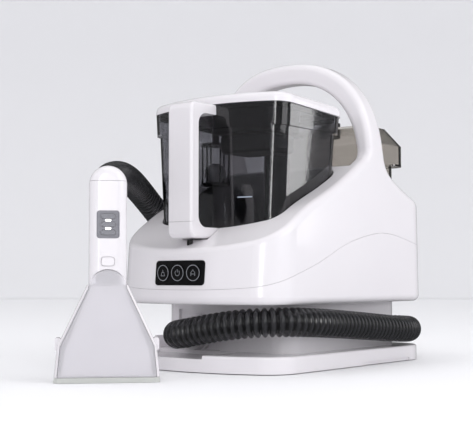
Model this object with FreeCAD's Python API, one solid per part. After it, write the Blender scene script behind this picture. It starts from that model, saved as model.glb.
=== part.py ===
"""Portable spot cleaner for carpet and upholstery, with its hose and hand tool.

Millimetres, +Z up.  The origin is on the floor at the middle of the base, -Y is the front.
"""
import FreeCAD, Part
import math
import os

# ---------------------------------------------------------------- body
body_half_width = 116.0
body_front = -178.0           # nose at the height of the control panel
body_rear = 177.0
body_bottom = 74.0
panel_height = 108.5          # centre of the control panel
nose_lean = 0.085             # front face leans back this much per mm of height
rear_lean = 0.030
bow_radius = 240.0            # the front face bows forward in plan
front_corner = 44.0
rear_corner = 34.0
body_edge = 8.0               # rounding of the rim, the hoop and the underside
shell_wall = 3.0
shell_gap = 0.3               # between nested shells and at parting lines
deck_height = 146.0           # underside of the floor that carries the tanks
deck_floor = 150.0

# ---------------------------------------------------------------- carry hoop
hoop_top = 370.0
hoop_inner_top = 345.0
hoop_leg = 21.0               # thickness of a leg across the machine
hoop_inner_half = body_half_width - hoop_leg
hoop_spring = 262.0           # the outer arch starts here
hoop_inner_spring = 250.0
saddle_height = 236.0         # top of the body between the hoop's legs
arch_power = 2.33
hoop_cover_low = 254.0        # the front half of the hoop ends here

# ---------------------------------------------------------------- base and waist
base_half_width = 115.0
base_front = -173.0
base_rear = 176.0
base_bow = 230.0
base_corner = 40.0
base_ground = 0.8             # skirt above the floor
base_height = 19.0
base_wall = 3.0
waist_half_width = 92.0
waist_front = -103.0
waist_rear = 148.0
waist_corner = 30.0
waist_wall = 3.0
guard_top = 33.0              # the low wall that holds the stored hose
guard_foot = 13.0
side_recess = 1.6             # finger recesses in the skirt
dip_depth = 4.0               # the tray is lower under the hose's first bend

# ---------------------------------------------------------------- dirty tank
tank_front = -131.0
tank_rear = 9.0
tank_half_low = 86.0
tank_half_high = 92.5
tank_bottom = 153.0
tank_collar = 273.0
tank_rim = 298.5              # at the front edge
tank_step = 3.0
tank_wall = 2.2
tank_fit = 1.3                # gap between a tank and its well
tank_corner = 20.0
lid_tilt = 2.9                # degrees, down to the rear
lid_height = 11.5
lid_overhang = 3.6
handle_width = 34.5
handle_bar = 12.5
handle_low = 146.8
latch_x, latch_y = 1.0, -160.0
latch_radius = 3.2
latch_tip = 145.2
handle_front = -177.0
handle_cover_low = 165.0
standpipe_x = 15.0
standpipe_y = -16.0

# ---------------------------------------------------------------- clean tank
clean_front = 94.0
clean_rear = 160.0
clean_half = 80.0
clean_bottom = 152.5
clean_shoulder = 247.0
clean_top = 297.0
clean_overhang = 8.0
cap_radius = 17.0

# ---------------------------------------------------------------- controls
panel_width = 71.0
panel_tall = 27.0
panel_thick = 2.6
button_radius = 9.4
button_pitch = 21.8
button_gap = 0.35
board_half = 38.0
board_tall = 25.0
board_thick = 1.6

# ---------------------------------------------------------------- inside the body
motor_y = 52.0
motor_low = 106.0             # top of the fan housing, foot of the motor
motor_high = 188.0
motor_radius = 35.0
fan_radius = 50.0
fan_low = 82.0                # underside of the impeller
shaft_radius = 4.0
shaft_fit = 0.05
pump_x, pump_y, pump_z = -62.0, -20.0, 52.0
plunger_radius = 6.0
cage_x, cage_y = -42.0, -62.0
cage_low = 214.0
cage_high = 265.0
float_radius = 12.5

# ---------------------------------------------------------------- rear of the body
gland_x, gland_z = 72.0, 98.0
gland_radius = 8.0
gland_bore = 3.6
grille_half = 48.0
grille_low, grille_high = 90.0, 128.0

# ---------------------------------------------------------------- hose
hose_diameter = 32.3
port_x = -42.0
port_face = -112.0
port_z = 38.0
port_bore = 13.5
port_radius = 20.0
hose_route = [(-42, -112, 38), (-42, -128.5, 38), (-34, -143, 38.5), (-19.5, -151.5, 40.5),
              (4, -154, 44), (36, -153.5, 49.5), (70, -147, 54), (97, -131, 55.5), (112, -100, 55),
              (115, -44, 51.5), (114.5, 30, 46), (115.5, 92, 41), (112, 130, 39), (98, 158, 38.5),
              (70, 173, 38.5), (22, 174.5, 38), (-34, 172.5, 38.5), (-76, 169, 40), (-110, 159, 44),
              (-135, 134, 55), (-149, 98, 80), (-154, 50, 115), (-153, -6, 153), (-145, -56, 187),
              (-127, -106, 210), (-102, -150, 219), (-75, -193, 220), (-49, -234, 213.5),
              (-31, -257.5, 204.5), (-16.8, -271.3, 195.3)]

# ---------------------------------------------------------------- hand tool, in its own frame: front is -Y
tool_x = 14.0
tool_y = -301.0
tool_turn = 46.0              # degrees about Z
grip_half = 18.8
grip_depth = 17.0             # half the depth
grip_edge = 10.0
grip_bottom = 96.5
grip_top = 214.8
grip_wall = 2.4
cap_seam = 199.0
cuff_tilt = 25.0
cuff_radius = 18.0
cuff_start = 10.0
cuff_length = 36.0
cuff_z = 180.0
mouth_half = 52.5
ear_half = 49.0
ear_height = 36.0
neck_half = 20.0
mouth_depth = 13.0            # half the depth at the mouth
nozzle_corner = 6.0
lip_height = 5.0
nozzle_wall = 2.4
spray_z = 74.0
window_top = 111.0
window_thick = 2.4
window_edge = 3.2             # white border at each side of the window
key_latch_z = 119.2           # the push button that frees the nozzle
key_latch_half = 6.4
key_latch_tall = 8.4
tool_panel_width = 22.5
tool_panel_low = 142.0
tool_panel_high = 169.5
key_pitch = 8.0
key_half = 7.0
key_tall = 4.8
key_gap = 0.25

SIDE = 400.0                  # larger than anything here


def vec(x, y, z):
    return FreeCAD.Vector(x, y, z)


def box(x0, x1, y0, y1, z0, z1):
    return Part.makeBox(x1 - x0, y1 - y0, z1 - z0, vec(x0, y0, z0))


def rod(radius, start, end):
    """A round bar between two points."""
    run = end - start
    return Part.makeCylinder(radius, run.Length, start, run)


def tube(outer, inner, start, end):
    return rod(outer, start, end).cut(rod(inner, start, end))


def fuse(shapes):
    return shapes[0].multiFuse(shapes[1:]).removeSplitter()


def edges(shape, test):
    return [edge for edge in shape.Edges if test(edge.BoundBox)]


def wire(curves):
    return Part.Wire([curve.toShape() for curve in curves])


def polygon(points):
    return Part.Face(Part.makePolygon(points + points[:1]))


def smooth(points):
    curve = Part.BSplineCurve()
    curve.interpolate(points)
    return curve


def across(face, half=150.0):
    """A prism across the machine from a face drawn at X = 0."""
    face.translate(vec(-half, 0, 0))
    return face.extrude(vec(2 * half, 0, 0))


def along(face, y0, y1):
    """A prism from front to back from a face drawn at Y = 0."""
    face.translate(vec(0, y0, 0))
    return face.extrude(vec(0, y1 - y0, 0))


def plan(half, front, rear, bow, front_round, rear_round, z):
    """Closed plan outline: straight sides and rear, and a front that bows forward."""
    bow_centre = front + bow
    reach = half - front_round
    drop = math.sqrt((bow - front_round) ** 2 - reach ** 2)
    turn = math.atan2(reach, drop) - math.pi / 2

    def front_at(angle):
        return vec(reach + front_round * math.cos(angle),
                   bow_centre - drop + front_round * math.sin(angle), z)

    def rear_at(angle):
        return vec(half - rear_round + rear_round * math.cos(angle),
                   rear - rear_round + rear_round * math.sin(angle), z)

    def flip(point):
        return vec(-point.x, point.y, point.z)

    side, middle, tangent = front_at(0), front_at(turn / 2), front_at(turn)
    back = [rear_at(0), rear_at(math.pi / 4), rear_at(math.pi / 2)]
    return wire([Part.LineSegment(side, back[0]), Part.Arc(*back), Part.LineSegment(back[2], flip(back[2])),
                 Part.Arc(flip(back[2]), flip(back[1]), flip(back[0])),
                 Part.LineSegment(flip(back[0]), flip(side)),
                 Part.Arc(flip(side), flip(middle), flip(tangent)),
                 Part.Arc(flip(tangent), vec(0, front, z), tangent), Part.Arc(tangent, middle, side)])


def straight_loft(*wires):
    return Part.makeLoft(list(wires), True, True)


def rounded_path(points, share=0.45):
    """Straight runs joined by tangent arcs; returns the path and the radii of its bends."""
    corners = [vec(*point) for point in points]
    curves = []
    radii = []
    last = corners[0]
    for before, here, after in zip(corners, corners[1:], corners[2:]):
        back = (before - here).normalize()
        ahead = (after - here).normalize()
        reach = share * min((before - here).Length, (after - here).Length)
        half_turn = (math.pi - back.getAngle(ahead)) / 2
        radius = reach / math.tan(half_turn)
        start = here + back * reach
        end = here + ahead * reach
        inward = (back + ahead).normalize()
        middle = here + inward * (radius / math.cos(half_turn) - radius)
        curves += [Part.LineSegment(last, start), Part.Arc(start, middle, end)]
        radii.append(radius)
        last = end
    curves.append(Part.LineSegment(last, corners[-1]))
    return wire(curves), radii


def pipe(points, radius):
    path, radii = rounded_path(points)
    start = vec(*points[0])
    ring = Part.Wire(Part.Circle(start, vec(*points[1]) - start, radius).toShape())
    return path.makePipeShell([ring], True, False), path.Length, radii


# ---------------------------------------------------------------- body shells
def body_loft(inset, low, high):
    def at(z):
        return plan(body_half_width - inset, body_front + inset + nose_lean * (z - panel_height),
                    body_rear - inset - rear_lean * (z - body_bottom), bow_radius - inset,
                    front_corner - inset, rear_corner - inset, z)
    return straight_loft(at(low), at(high))


def side_profile():
    """The body seen from the side: nose, ledge rising to the hoop, hoop, rear shoulder."""
    def at(y, z):
        return vec(0, y, z)
    nose = at(-190, 130)
    leg_front = at(36, 250)
    tip_front = at(14.5, 385)
    tip_rear = at(45, 385)
    leg_rear = at(72, 250)
    shoulder = at(146, 203)
    ledge = [nose, at(-150, 146), at(-118, 166), at(-88, 184), at(-45, 204), at(7, 232), leg_front]
    rear_slope = [leg_rear, at(82, 233), at(100, 222), at(125, 211), shoulder]
    outline = wire([smooth(ledge), Part.Arc(leg_front, at(28, 305), tip_front),
                    Part.LineSegment(tip_front, tip_rear), Part.Arc(tip_rear, at(59, 305), leg_rear),
                    smooth(rear_slope), Part.LineSegment(shoulder, at(190, 186)),
                    Part.LineSegment(at(190, 186), at(190, 60)),
                    Part.LineSegment(at(190, 60), at(-190, 60)), Part.LineSegment(at(-190, 60), nose)])
    prism = across(Part.Face(outline))
    root = edges(prism, lambda b: b.YLength < 0.01 and b.ZLength < 0.01 and abs(b.YMin - leg_front.y) < 1
                 and abs(b.ZMin - leg_front.z) < 1)
    return prism.makeFillet(14, root)


def arch(half, spring, top, bottom, steps=16):
    """Face in the XZ plane: straight legs under a superelliptic arch."""
    points = []
    for step in range(steps + 1):
        angle = math.pi * step / steps
        side = math.copysign(max(abs(math.cos(angle)), 1e-12) ** (2 / arch_power), math.cos(angle))
        rise = max(math.sin(angle), 1e-12) ** (2 / arch_power)
        points.append(vec(half * side, 0, spring + (top - spring) * rise))
    feet = [points[-1], vec(-half, 0, bottom), vec(half, 0, bottom), points[0]]
    legs = [Part.LineSegment(a, b) for a, b in zip(feet, feet[1:])]
    return Part.Face(wire([smooth(points)] + legs))


def body_outer():
    solid = body_loft(0, body_bottom, 385)
    solid = solid.makeFillet(body_edge, edges(solid, lambda b: b.ZMax < body_bottom + 0.1))
    front_view = along(arch(body_half_width, hoop_spring, hoop_top, 50), -SIDE, SIDE)
    solid = solid.common(side_profile().common(front_view))
    grip_hole = arch(hoop_inner_half, hoop_inner_spring, hoop_inner_top, saddle_height)
    solid = solid.cut(along(grip_hole, 0, 100))
    solid = solid.removeSplitter()

    def on_rim(b):
        outside = b.XMax > body_half_width - 0.8 or b.XMin < 0.8 - body_half_width
        nose = b.YMin < body_front + 10
        crossing = abs(b.XLength - hoop_leg) < 6
        return b.ZMin > 130 and (outside or nose or b.ZMax > hoop_top - 1) and not crossing

    def under_arch(b):
        wide = b.XLength > 2 * hoop_inner_half - 12
        return wide and b.ZMin > hoop_inner_spring - 1 and b.ZMax < hoop_inner_top + 1

    solid = solid.makeFillet(body_edge, edges(solid, on_rim))
    return solid.makeFillet(body_edge, edges(solid, under_arch))


def below_seam(lift):
    """Everything under the parting line of the two body shells."""
    line = [(-200, 90), (-165, 92), (-129, 103), (-71, 121), (-20, 141), (24, 152), (62, 157),
            (107, 153), (158, 143), (200, 137)]
    points = [vec(0, y, z + lift) for y, z in line]
    ends = [points[-1], vec(0, 200, 0), vec(0, -200, 0), points[0]]
    sides = [Part.LineSegment(a, b) for a, b in zip(ends, ends[1:])]
    return across(Part.Face(wire([smooth(points)] + sides)))


def tank_plan(grow, z):
    """Outline of the dirty tank, or of its well when grown, at one height."""
    share = (z - tank_bottom) / (tank_collar - tank_bottom)
    half = tank_half(z) + grow
    front = tank_front + 3 * (1 - share) - grow
    rear = tank_rear - 4 * (1 - share) + grow
    return plan(half, front, rear, bow_radius, tank_corner, 22, z)


def tank_loft(grow, low, high):
    return straight_loft(tank_plan(grow, low), tank_plan(grow, high))


def clean_plan(grow, z, half=clean_half, front=clean_front, rear=clean_rear):
    return plan(half + grow, front - grow, rear + grow, 2000, 16, 16, z)


def panel_area(grow, y0=-190, y1=-150):
    """A rounded bar through the nose where the control panel sits."""
    half = panel_width / 2 + grow
    tall = panel_tall / 2 + grow
    bar = box(-half, half, y0, y1, panel_height - tall, panel_height + tall)
    return bar.makeFillet(4 + grow, edges(bar, lambda b: b.YLength > 30))


def body_shells(outer):
    core = body_loft(shell_wall, body_bottom + shell_wall, 300)
    inner = body_loft(shell_wall + shell_gap, body_bottom - 1, 300)
    lower = outer.common(below_seam(0)).cut(core)
    under_skin = side_profile()
    under_skin.translate(vec(0, 0, -5))
    nose_room = inner.common(under_skin).common(box(-SIDE, SIDE, -SIDE, -115, 0, deck_height - 4))
    main_room = inner.common(box(-SIDE, SIDE, -116, SIDE, 0, deck_height))
    side_box = box(tank_half_high + tank_fit + shell_wall + 1.7, body_half_width - shell_wall - 0.5,
                   -104, 138, deck_floor, saddle_height + 4)
    other_box = side_box.mirror(vec(0, 0, 0), vec(1, 0, 0))
    side_rooms = [under_skin.common(side_box), under_skin.common(other_box)]
    bulkhead_half = min(tank_half_high, hoop_inner_half) - 1.5
    bulkhead_room = box(-bulkhead_half, bulkhead_half, tank_rear + 5, clean_front - 5, deck_height - 1,
                        saddle_height - 4).common(under_skin)
    upper = outer.cut(below_seam(shell_gap).cut(inner))
    upper = upper.cut(nose_room.fuse(main_room)).cut(side_rooms[0]).cut(side_rooms[1]).cut(bulkhead_room)
    upper = upper.cut(straight_loft(tank_plan(tank_fit, deck_floor), tank_plan(tank_fit, 262)))
    upper = upper.cut(straight_loft(clean_plan(tank_fit, deck_floor), clean_plan(tank_fit, 262)))
    skin = body_loft(panel_thick, body_bottom, 200)
    upper = upper.cut(panel_area(0.2).cut(skin))
    room_half = button_pitch + button_radius + 0.8
    room_tall = button_radius + 1.6
    upper = upper.cut(box(-room_half, room_half, -SIDE, -150,
                          panel_height - room_tall, panel_height + room_tall))
    arm_half = handle_width / 2 + tank_fit
    upper = upper.cut(box(-arm_half, arm_half, -153, -115, handle_low - tank_fit, SIDE))
    upper = upper.cut(rod(latch_radius + 0.4, vec(latch_x, latch_y, 120), vec(latch_x, latch_y, 160)))
    return lower, upper


def control_panel():
    face = body_loft(-0.7, body_bottom, 200).cut(body_loft(panel_thick, body_bottom - 1, 201))
    panel = face.common(panel_area(0))
    for x in button_places():
        panel = panel.cut(button_rod(x, button_radius + button_gap, -200, -150))
    return panel


def button_places():
    return [button_pitch * side for side in (-1, 0, 1)]


def button_rod(x, radius, y0, y1):
    return rod(radius, vec(x, y0, panel_height), vec(x, y1, panel_height))


def button(x):
    cap = button_rod(x, button_radius, -190, -172.5).common(body_loft(-1.1, body_bottom, 200))
    return fuse([cap, button_rod(x, 4, -174, -171)])


# ---------------------------------------------------------------- base and waist
def base_plan(inset, z):
    return plan(base_half_width - inset, base_front + inset, base_rear - inset, base_bow - inset,
                base_corner - inset, base_corner - inset, z)


def waist_plan(inset, z):
    return plan(waist_half_width - inset, waist_front + inset, waist_rear - inset, 900, 24 - inset,
                waist_corner - inset, z)


def base_tray():
    solid = straight_loft(base_plan(0, base_ground), base_plan(0, base_height))
    solid = solid.makeFillet(2.5, edges(solid, lambda b: b.ZMin > base_height - 0.1))
    room = straight_loft(base_plan(base_wall, 0), base_plan(base_wall, base_height - base_wall))
    solid = solid.cut(room)
    ribs = [box(-base_half_width + 2, base_half_width - 2, -2, 2, base_ground, base_height - 1),
            box(-2, 2, base_front + 2, base_rear - 2, base_ground, base_height - 1),
            box(-24, 24, -24, 24, 0, base_height - 1)]
    solid = fuse([solid] + ribs + [rod(13, vec(x, y, base_ground), vec(x, y, base_height - 1))
                                   for x, y in foot_places()])
    for side in (-1, 1):
        recess = box(base_half_width - side_recess, SIDE, 20, 128, -1, 4.5)
        solid = solid.cut(recess if side > 0 else recess.mirror(vec(0, 0, 0), vec(1, 0, 0)))
    dip = box(-94, 28, -SIDE, waist_front - 3, base_height - dip_depth, SIDE)
    dip_low = base_height - dip_depth - base_wall
    dip_floor = straight_loft(base_plan(1, dip_low), base_plan(1, base_height - 1))
    solid = fuse([solid, dip_floor.common(box(-97, 31, -SIDE, waist_front, 0, base_height - 1))]).cut(dip)
    for x, y in foot_places():
        solid = solid.cut(rod(9.2, vec(x, y, -1), vec(x, y, 3)))
    for x, y in waist_screws():
        solid = solid.cut(rod(1.8, vec(x, y, -1), vec(x, y, 30)))
        solid = solid.cut(rod(3.6, vec(x, y, -1), vec(x, y, base_height - 4.5)))
    return solid.cut(hose_guard())


def hose_guard():
    """A low wall set into the left edge of the tray."""
    wall = straight_loft(base_plan(0, guard_foot), base_plan(0, guard_top))
    inside = straight_loft(base_plan(base_wall, guard_foot - 1), base_plan(base_wall, guard_top + 1))
    wall = wall.cut(inside)
    return wall.common(box(-SIDE, -base_half_width + 20, -90, 100, 0, SIDE))


def foot_places():
    side = base_half_width - 31
    return [(x, y) for x in (-side, side) for y in (base_front + 55, base_rear - 30)]


def waist_screws():
    side = waist_half_width - 22
    return [(x, y) for x in (-side, side) for y in (waist_front + 25, waist_rear - 30)]


def screw(x, y, z, length, radius=1.6, head=3.2):
    """A pan-head screw that points up, with a cross recess."""
    foot = vec(x, y, z)
    body = fuse([rod(radius, foot, vec(x, y, z + length)), rod(head, vec(x, y, z - 2), foot)])
    slots = [box(x - long, x + long, y - wide, y + wide, z - 2.1, z - 1)
             for long, wide in ((2, 0.4), (0.4, 2))]
    return body.cut(fuse(slots))


def waist_column():
    top = body_bottom
    solid = straight_loft(waist_plan(0, base_height), waist_plan(0, top))
    room = straight_loft(waist_plan(waist_wall, base_height + 3), waist_plan(waist_wall, top + 1))
    solid = solid.cut(room)
    niche = box(port_x - 24, port_x + 40, waist_front - 5, waist_front + 6, base_height + 0.5, 66)
    back = box(port_x - 27, port_x + 43, waist_front + 2, waist_front + 9, base_height + 1, 69)
    solid = fuse([solid, back]).cut(niche)
    bosses = [tube(5, 1.7, vec(x, y, base_height + 2), vec(x, y, 45)) for x, y in waist_screws()]
    solid = fuse([solid] + bosses)
    for x, y in waist_screws():
        solid = solid.cut(rod(1.7, vec(x, y, base_height - 1), vec(x, y, 45)))
    return solid.cut(rod(port_bore + 2.1, vec(port_x, -130, port_z), vec(port_x, -80, port_z)))


def hose_port():
    wall = waist_front + 6
    flange = tube(23, port_bore, vec(port_x, wall - 3, port_z), vec(port_x, wall, port_z))
    socket = tube(port_radius, port_bore, vec(port_x, port_face, port_z), vec(port_x, wall - 2.5, port_z))
    socket = socket.makeFillet(1.2, edges(socket, lambda b: b.YMax < port_face + 0.1 and b.XLength > 35))
    spigot = tube(port_bore + 2, port_bore, vec(port_x, wall - 1, port_z), vec(port_x, wall + 10, port_z))
    return fuse([flange, socket, spigot]).common(box(-SIDE, SIDE, -SIDE, SIDE, base_height + 0.6, SIDE))


def suction_duct():
    start = waist_front + 16.0
    points = [(port_x, start, port_z), (port_x, start + 34, port_z), (port_x + 16, start + 58, port_z + 4),
              (standpipe_x, standpipe_y - 2, port_z + 26), (standpipe_x, standpipe_y, port_z + 62),
              (standpipe_x, standpipe_y, tank_bottom - 1.0)]
    outside, _, _ = pipe(points, port_bore + 2)
    inside, _, _ = pipe(points, port_bore)
    return outside.cut(inside)


# ---------------------------------------------------------------- inside the body
def fan_housing():
    low, high = body_bottom + shell_wall, motor_low
    shell = rod(fan_radius + 4, vec(0, motor_y, low), vec(0, motor_y, high))
    wheel_room = rod(fan_radius + 1.5, vec(0, motor_y, low + 3), vec(0, motor_y, high - 3))
    outlet = box(-14, 14, motor_y + 40, motor_y + 80, low + 4, high - 4)
    shell = fuse([shell, box(-17, 17, motor_y + 40, motor_y + 80, low + 1, high - 1)])
    shell = shell.cut(outlet).cut(wheel_room)
    return shell.cut(rod(shaft_radius + 8, vec(0, motor_y, high - 4), vec(0, motor_y, high + 1)))


def motor_can():
    low, high = motor_low, motor_high
    can = rod(motor_radius, vec(0, motor_y, low), vec(0, motor_y, high))
    can = can.makeFillet(4, edges(can, lambda b: b.ZMin > high - 0.1))
    can = can.cut(rod(motor_radius - 9, vec(0, motor_y, low + 4), vec(0, motor_y, high - 6)))
    can = can.cut(rod(shaft_radius + shaft_fit, vec(0, motor_y, low - 1), vec(0, motor_y, high + 1)))
    for step in range(6):
        slot = box(-4, 4, 14, 28, high - 7, high + 1)
        slot.rotate(vec(0, 0, 0), vec(0, 0, 1), 60 * step)
        slot.translate(vec(0, motor_y, 0))
        can = can.cut(slot)
    return can


def fan_impeller():
    foot = vec(0, motor_y, fan_low)
    up = vec(0, 0, 1)
    blades = []
    for step in range(9):
        blade = box(10, fan_radius - 1, -1, 1, fan_low + 2, fan_low + 17)
        blade.rotate(vec(10, 0, 0), up, -28)
        blade.rotate(vec(0, 0, 0), up, 40 * step)
        blade.translate(vec(0, motor_y, 0))
        blades.append(blade)
    wheel = fuse([rod(12, foot, foot + up * 19.5), rod(fan_radius, foot, foot + up * 2.5)] + blades)
    wheel = wheel.common(rod(fan_radius, foot, foot + up * 20))
    return wheel.cut(rod(shaft_radius, foot - up, foot + up * 20))


def motor_shaft():
    """The shaft with the armature on it."""
    shaft = rod(shaft_radius, vec(0, motor_y, fan_low), vec(0, motor_y, motor_high + 3))
    armature = rod(motor_radius - 13, vec(0, motor_y, motor_low + 16), vec(0, motor_y, motor_high - 20))
    return fuse([shaft, armature])


def pump_body():
    solid = box(pump_x - 19, pump_x + 19, pump_y - 32, pump_y + 32, base_height + 3, pump_z + 16)
    solid = solid.makeFillet(4, edges(solid, lambda b: b.ZLength > 30))
    solid = fuse([solid, rod(7, vec(pump_x, pump_y - 40, pump_z), vec(pump_x, pump_y - 30, pump_z))])
    return solid.cut(rod(plunger_radius + shaft_fit, vec(pump_x, pump_y - 41, pump_z),
                         vec(pump_x, pump_y + 26, pump_z)))


def pump_plunger():
    return rod(plunger_radius, vec(pump_x, pump_y - 34, pump_z), vec(pump_x, pump_y + 22, pump_z))


def cord_gland():
    """The mains lead's inlet."""
    x, z = gland_x, gland_z
    barrel = tube(gland_radius, gland_bore, vec(x, body_rear - 12, z), vec(x, body_rear + 3, z))
    flange = tube(gland_radius + 3, gland_bore, vec(x, body_rear - 0.4, z), vec(x, body_rear + 2, z))
    return fuse([barrel, flange])


def exhaust_grille():
    plate = box(-grille_half, grille_half, body_rear - 6.5, body_rear - 3.2,
                grille_low + shell_gap, grille_high - shell_gap)
    for row in range(6):
        z = grille_low + 5 + row * 5.2
        plate = plate.cut(box(6 - grille_half, grille_half - 6, body_rear - 8, body_rear, z, z + 2.4))
    return plate


# ---------------------------------------------------------------- dirty tank
def tilt(shape):
    shape.rotate(vec(0, tank_front, tank_rim), vec(1, 0, 0), -lid_tilt)
    return shape


def above_rim(shift):
    return tilt(box(-SIDE, SIDE, -SIDE, SIDE, tank_rim + shift, tank_rim + 100))


def dirty_tank():
    body = fuse([tank_loft(0, tank_bottom, tank_collar),
                 straight_loft(tank_plan(tank_step, tank_collar - 1), tank_plan(tank_step, 310))])
    body = body.makeFillet(4, edges(body, lambda b: b.ZMax < tank_bottom + 0.1))
    room = fuse([tank_loft(-tank_wall, tank_bottom + tank_wall + 0.5, tank_collar + 2),
                 straight_loft(tank_plan(tank_step - tank_wall, tank_collar + 1.2),
                               tank_plan(tank_step - tank_wall, 311))])
    body = body.cut(room).cut(above_rim(0))
    mark = box(40, 60, tank_front - 8, tank_front + 20, 192.6, 193.4)
    body = body.cut(mark.common(tank_loft(1, 180, 210).cut(tank_loft(-0.4, 179, 211))))
    return body.cut(rod(port_bore, vec(standpipe_x, standpipe_y, 150), vec(standpipe_x, standpipe_y, 160)))


def handle_profile(outer_y, low, high, inner_y, inner_low, inner_high):
    """A C-shaped plate across the grip: outside outline less the finger gap."""
    outside = box(-handle_width / 2, handle_width / 2, outer_y, tank_rear - 40, low, high)
    outside = outside.makeFillet(9, edges(outside, lambda b: b.XLength > 30 and b.YMax < outer_y + 0.1))
    gap = box(-handle_width, handle_width, inner_y, tank_rear, inner_low, inner_high)
    gap = gap.makeFillet(13, edges(gap, lambda b: b.XLength > 30 and b.YMax < inner_y + 0.1))
    return outside.cut(gap)


def tank_handles():
    inner_y = handle_front + handle_bar
    solid = handle_profile(handle_front, handle_low, tank_rim - 0.3, inner_y, 159, tank_rim - 12)
    uprights = edges(solid, lambda b: b.YMax < inner_y - 5 and b.XLength < 8 and b.ZLength > 90)
    solid = solid.makeFillet(3, uprights)
    inside = fuse([tank_loft(0, tank_bottom, tank_collar),
                   straight_loft(tank_plan(tank_step, tank_collar - 1), tank_plan(tank_step, 310))])
    solid = solid.cut(inside).cut(box(-SIDE, SIDE, -126, SIDE, 0, SIDE))
    cover_zone = box(-SIDE, SIDE, -SIDE, handle_front + 5, handle_cover_low, SIDE)
    cover_clear = box(-SIDE, SIDE, -SIDE, handle_front + 5.2, handle_cover_low - 0.3, SIDE)
    return solid.cut(cover_clear), solid.common(cover_zone)


def tank_lid():
    wide = plan(tank_half_high + lid_overhang + tank_step, tank_front - lid_overhang,
                tank_rear + lid_overhang + 0.5, bow_radius, tank_corner + 4, 24, 0)
    face = Part.Face(wide)
    slab = face.extrude(vec(0, 0, lid_height))
    slab = slab.makeFillet(7, edges(slab, lambda b: b.ZMin > lid_height - 0.1))
    dish = Part.Face(plan(tank_half_high - 4, tank_front + 6, tank_rear - 6,
                          bow_radius, tank_corner - 5, 16, -1))
    slab = slab.cut(dish.extrude(vec(0, 0, 1 + lid_height - 4)))
    slab.translate(vec(0, 0, tank_rim + 0.3))
    return tilt(slab)


def tank_half(z):
    """Half the tank's width at one height, without its collar."""
    share = (z - tank_bottom) / (tank_collar - tank_bottom)
    return tank_half_low + (tank_half_high - tank_half_low) * share


def lid_seal():
    half = min(tank_half(tank_rim), tank_half(tank_collar)) + tank_step - tank_wall - 0.1
    outside = Part.Face(plan(half, tank_front + tank_wall, tank_rear - tank_wall,
                             bow_radius, tank_corner - 2, 20, 0))
    inside = Part.Face(plan(half - 3, tank_front + tank_wall + 3, tank_rear - tank_wall - 3,
                            bow_radius, tank_corner - 5, 17, 0))
    ring = outside.cut(inside).extrude(vec(0, 0, 5))
    ring.translate(vec(0, 0, tank_rim - 4.9))
    return tilt(ring)


def standpipe():
    low = tank_bottom + tank_wall + 0.5
    x, y = standpipe_x, standpipe_y
    foot = tube(port_bore + 4, port_bore, vec(x, y, low), vec(x, y, low + 4))
    pipe_wall = tube(port_bore + 1.6, port_bore, vec(x, y, low + 3), vec(x, y, 272))
    hood = box(x - 26, x + 26, y - 17.5, y + 17.5, 272, 274)
    window = box(x - 30, x + 30, y - 6, y + 6, 252, 266)
    return fuse([foot, pipe_wall, hood]).cut(window)


def float_cage():
    low, high = cage_low, cage_high
    ring = tube(17, 14.6, vec(cage_x, cage_y, low), vec(cage_x, cage_y, low + 3))
    top = tube(17, 2.5, vec(cage_x, cage_y, high - 3), vec(cage_x, cage_y, high))
    posts = []
    for step in range(6):
        angle = math.radians(60 * step + 30)
        x = cage_x + 15.8 * math.cos(angle)
        y = cage_y + 15.8 * math.sin(angle)
        posts.append(rod(1.0, vec(x, y, low + 0.5), vec(x, y, high - 0.5)))
    floor = box(cage_x - 16, cage_x + 16, cage_y - 1.5, cage_y + 1.5, low, low + 2)
    stem = tube(4, 2.5, vec(cage_x, cage_y, high - 1), vec(cage_x, cage_y, high + 19))
    return fuse([ring, top, floor, stem] + posts)


def tank_float():
    return Part.makeSphere(float_radius, vec(cage_x, cage_y, cage_low + 2.4 + float_radius))


# ---------------------------------------------------------------- clean tank
def clean_tanks():
    """The tank's two welded halves: the straight bin and the wider top."""
    def stack(inset):
        def wide(z):
            return clean_plan(-inset, z, clean_half + clean_overhang, clean_front + 1, clean_rear + 11)
        shoulder, brow = clean_shoulder + inset, clean_shoulder + 26
        roof = clean_plan(-inset, clean_top - inset, clean_half - 12, clean_front + 3, clean_rear + 4)
        return fuse([straight_loft(clean_plan(-inset, clean_bottom + inset), clean_plan(-inset, shoulder)),
                     straight_loft(wide(shoulder), wide(brow)), straight_loft(wide(brow), roof)])
    body = stack(0).cut(stack(tank_wall + 0.3))
    cap_y = (clean_front + clean_rear) / 2
    body = body.cut(rod(cap_radius - 3, vec(0, cap_y, clean_top - 10), vec(0, cap_y, clean_top + 5)))
    body = body.cut(rod(8, vec(0, cap_y, 140), vec(0, cap_y, clean_bottom + 8)))
    below = box(-SIDE, SIDE, -SIDE, SIDE, 0, clean_shoulder)
    return body.common(below), body.cut(below)


def clean_cap():
    cap_y = (clean_front + clean_rear) / 2
    disc = rod(cap_radius, vec(0, cap_y, clean_top + 0.3), vec(0, cap_y, clean_top + 5))
    disc = disc.makeFillet(1.5, edges(disc, lambda b: b.ZMin > clean_top + 4.9))
    plug = tube(cap_radius - 3.4, cap_radius - 6,
                vec(0, cap_y, clean_top - 9), vec(0, cap_y, clean_top + 1))
    grip = box(-cap_radius + 3, cap_radius - 3, cap_y - 2, cap_y + 2, clean_top + 4, clean_top + 10)
    return fuse([disc, plug, grip])


def valve_seat():
    y = (clean_front + clean_rear) / 2
    seat = tube(12, 5, vec(0, y, clean_bottom + 2.6), vec(0, y, clean_bottom + 6))
    neck = tube(7.8, 5, vec(0, y, clean_bottom), vec(0, y, clean_bottom + 4))
    return fuse([seat, neck])


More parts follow.
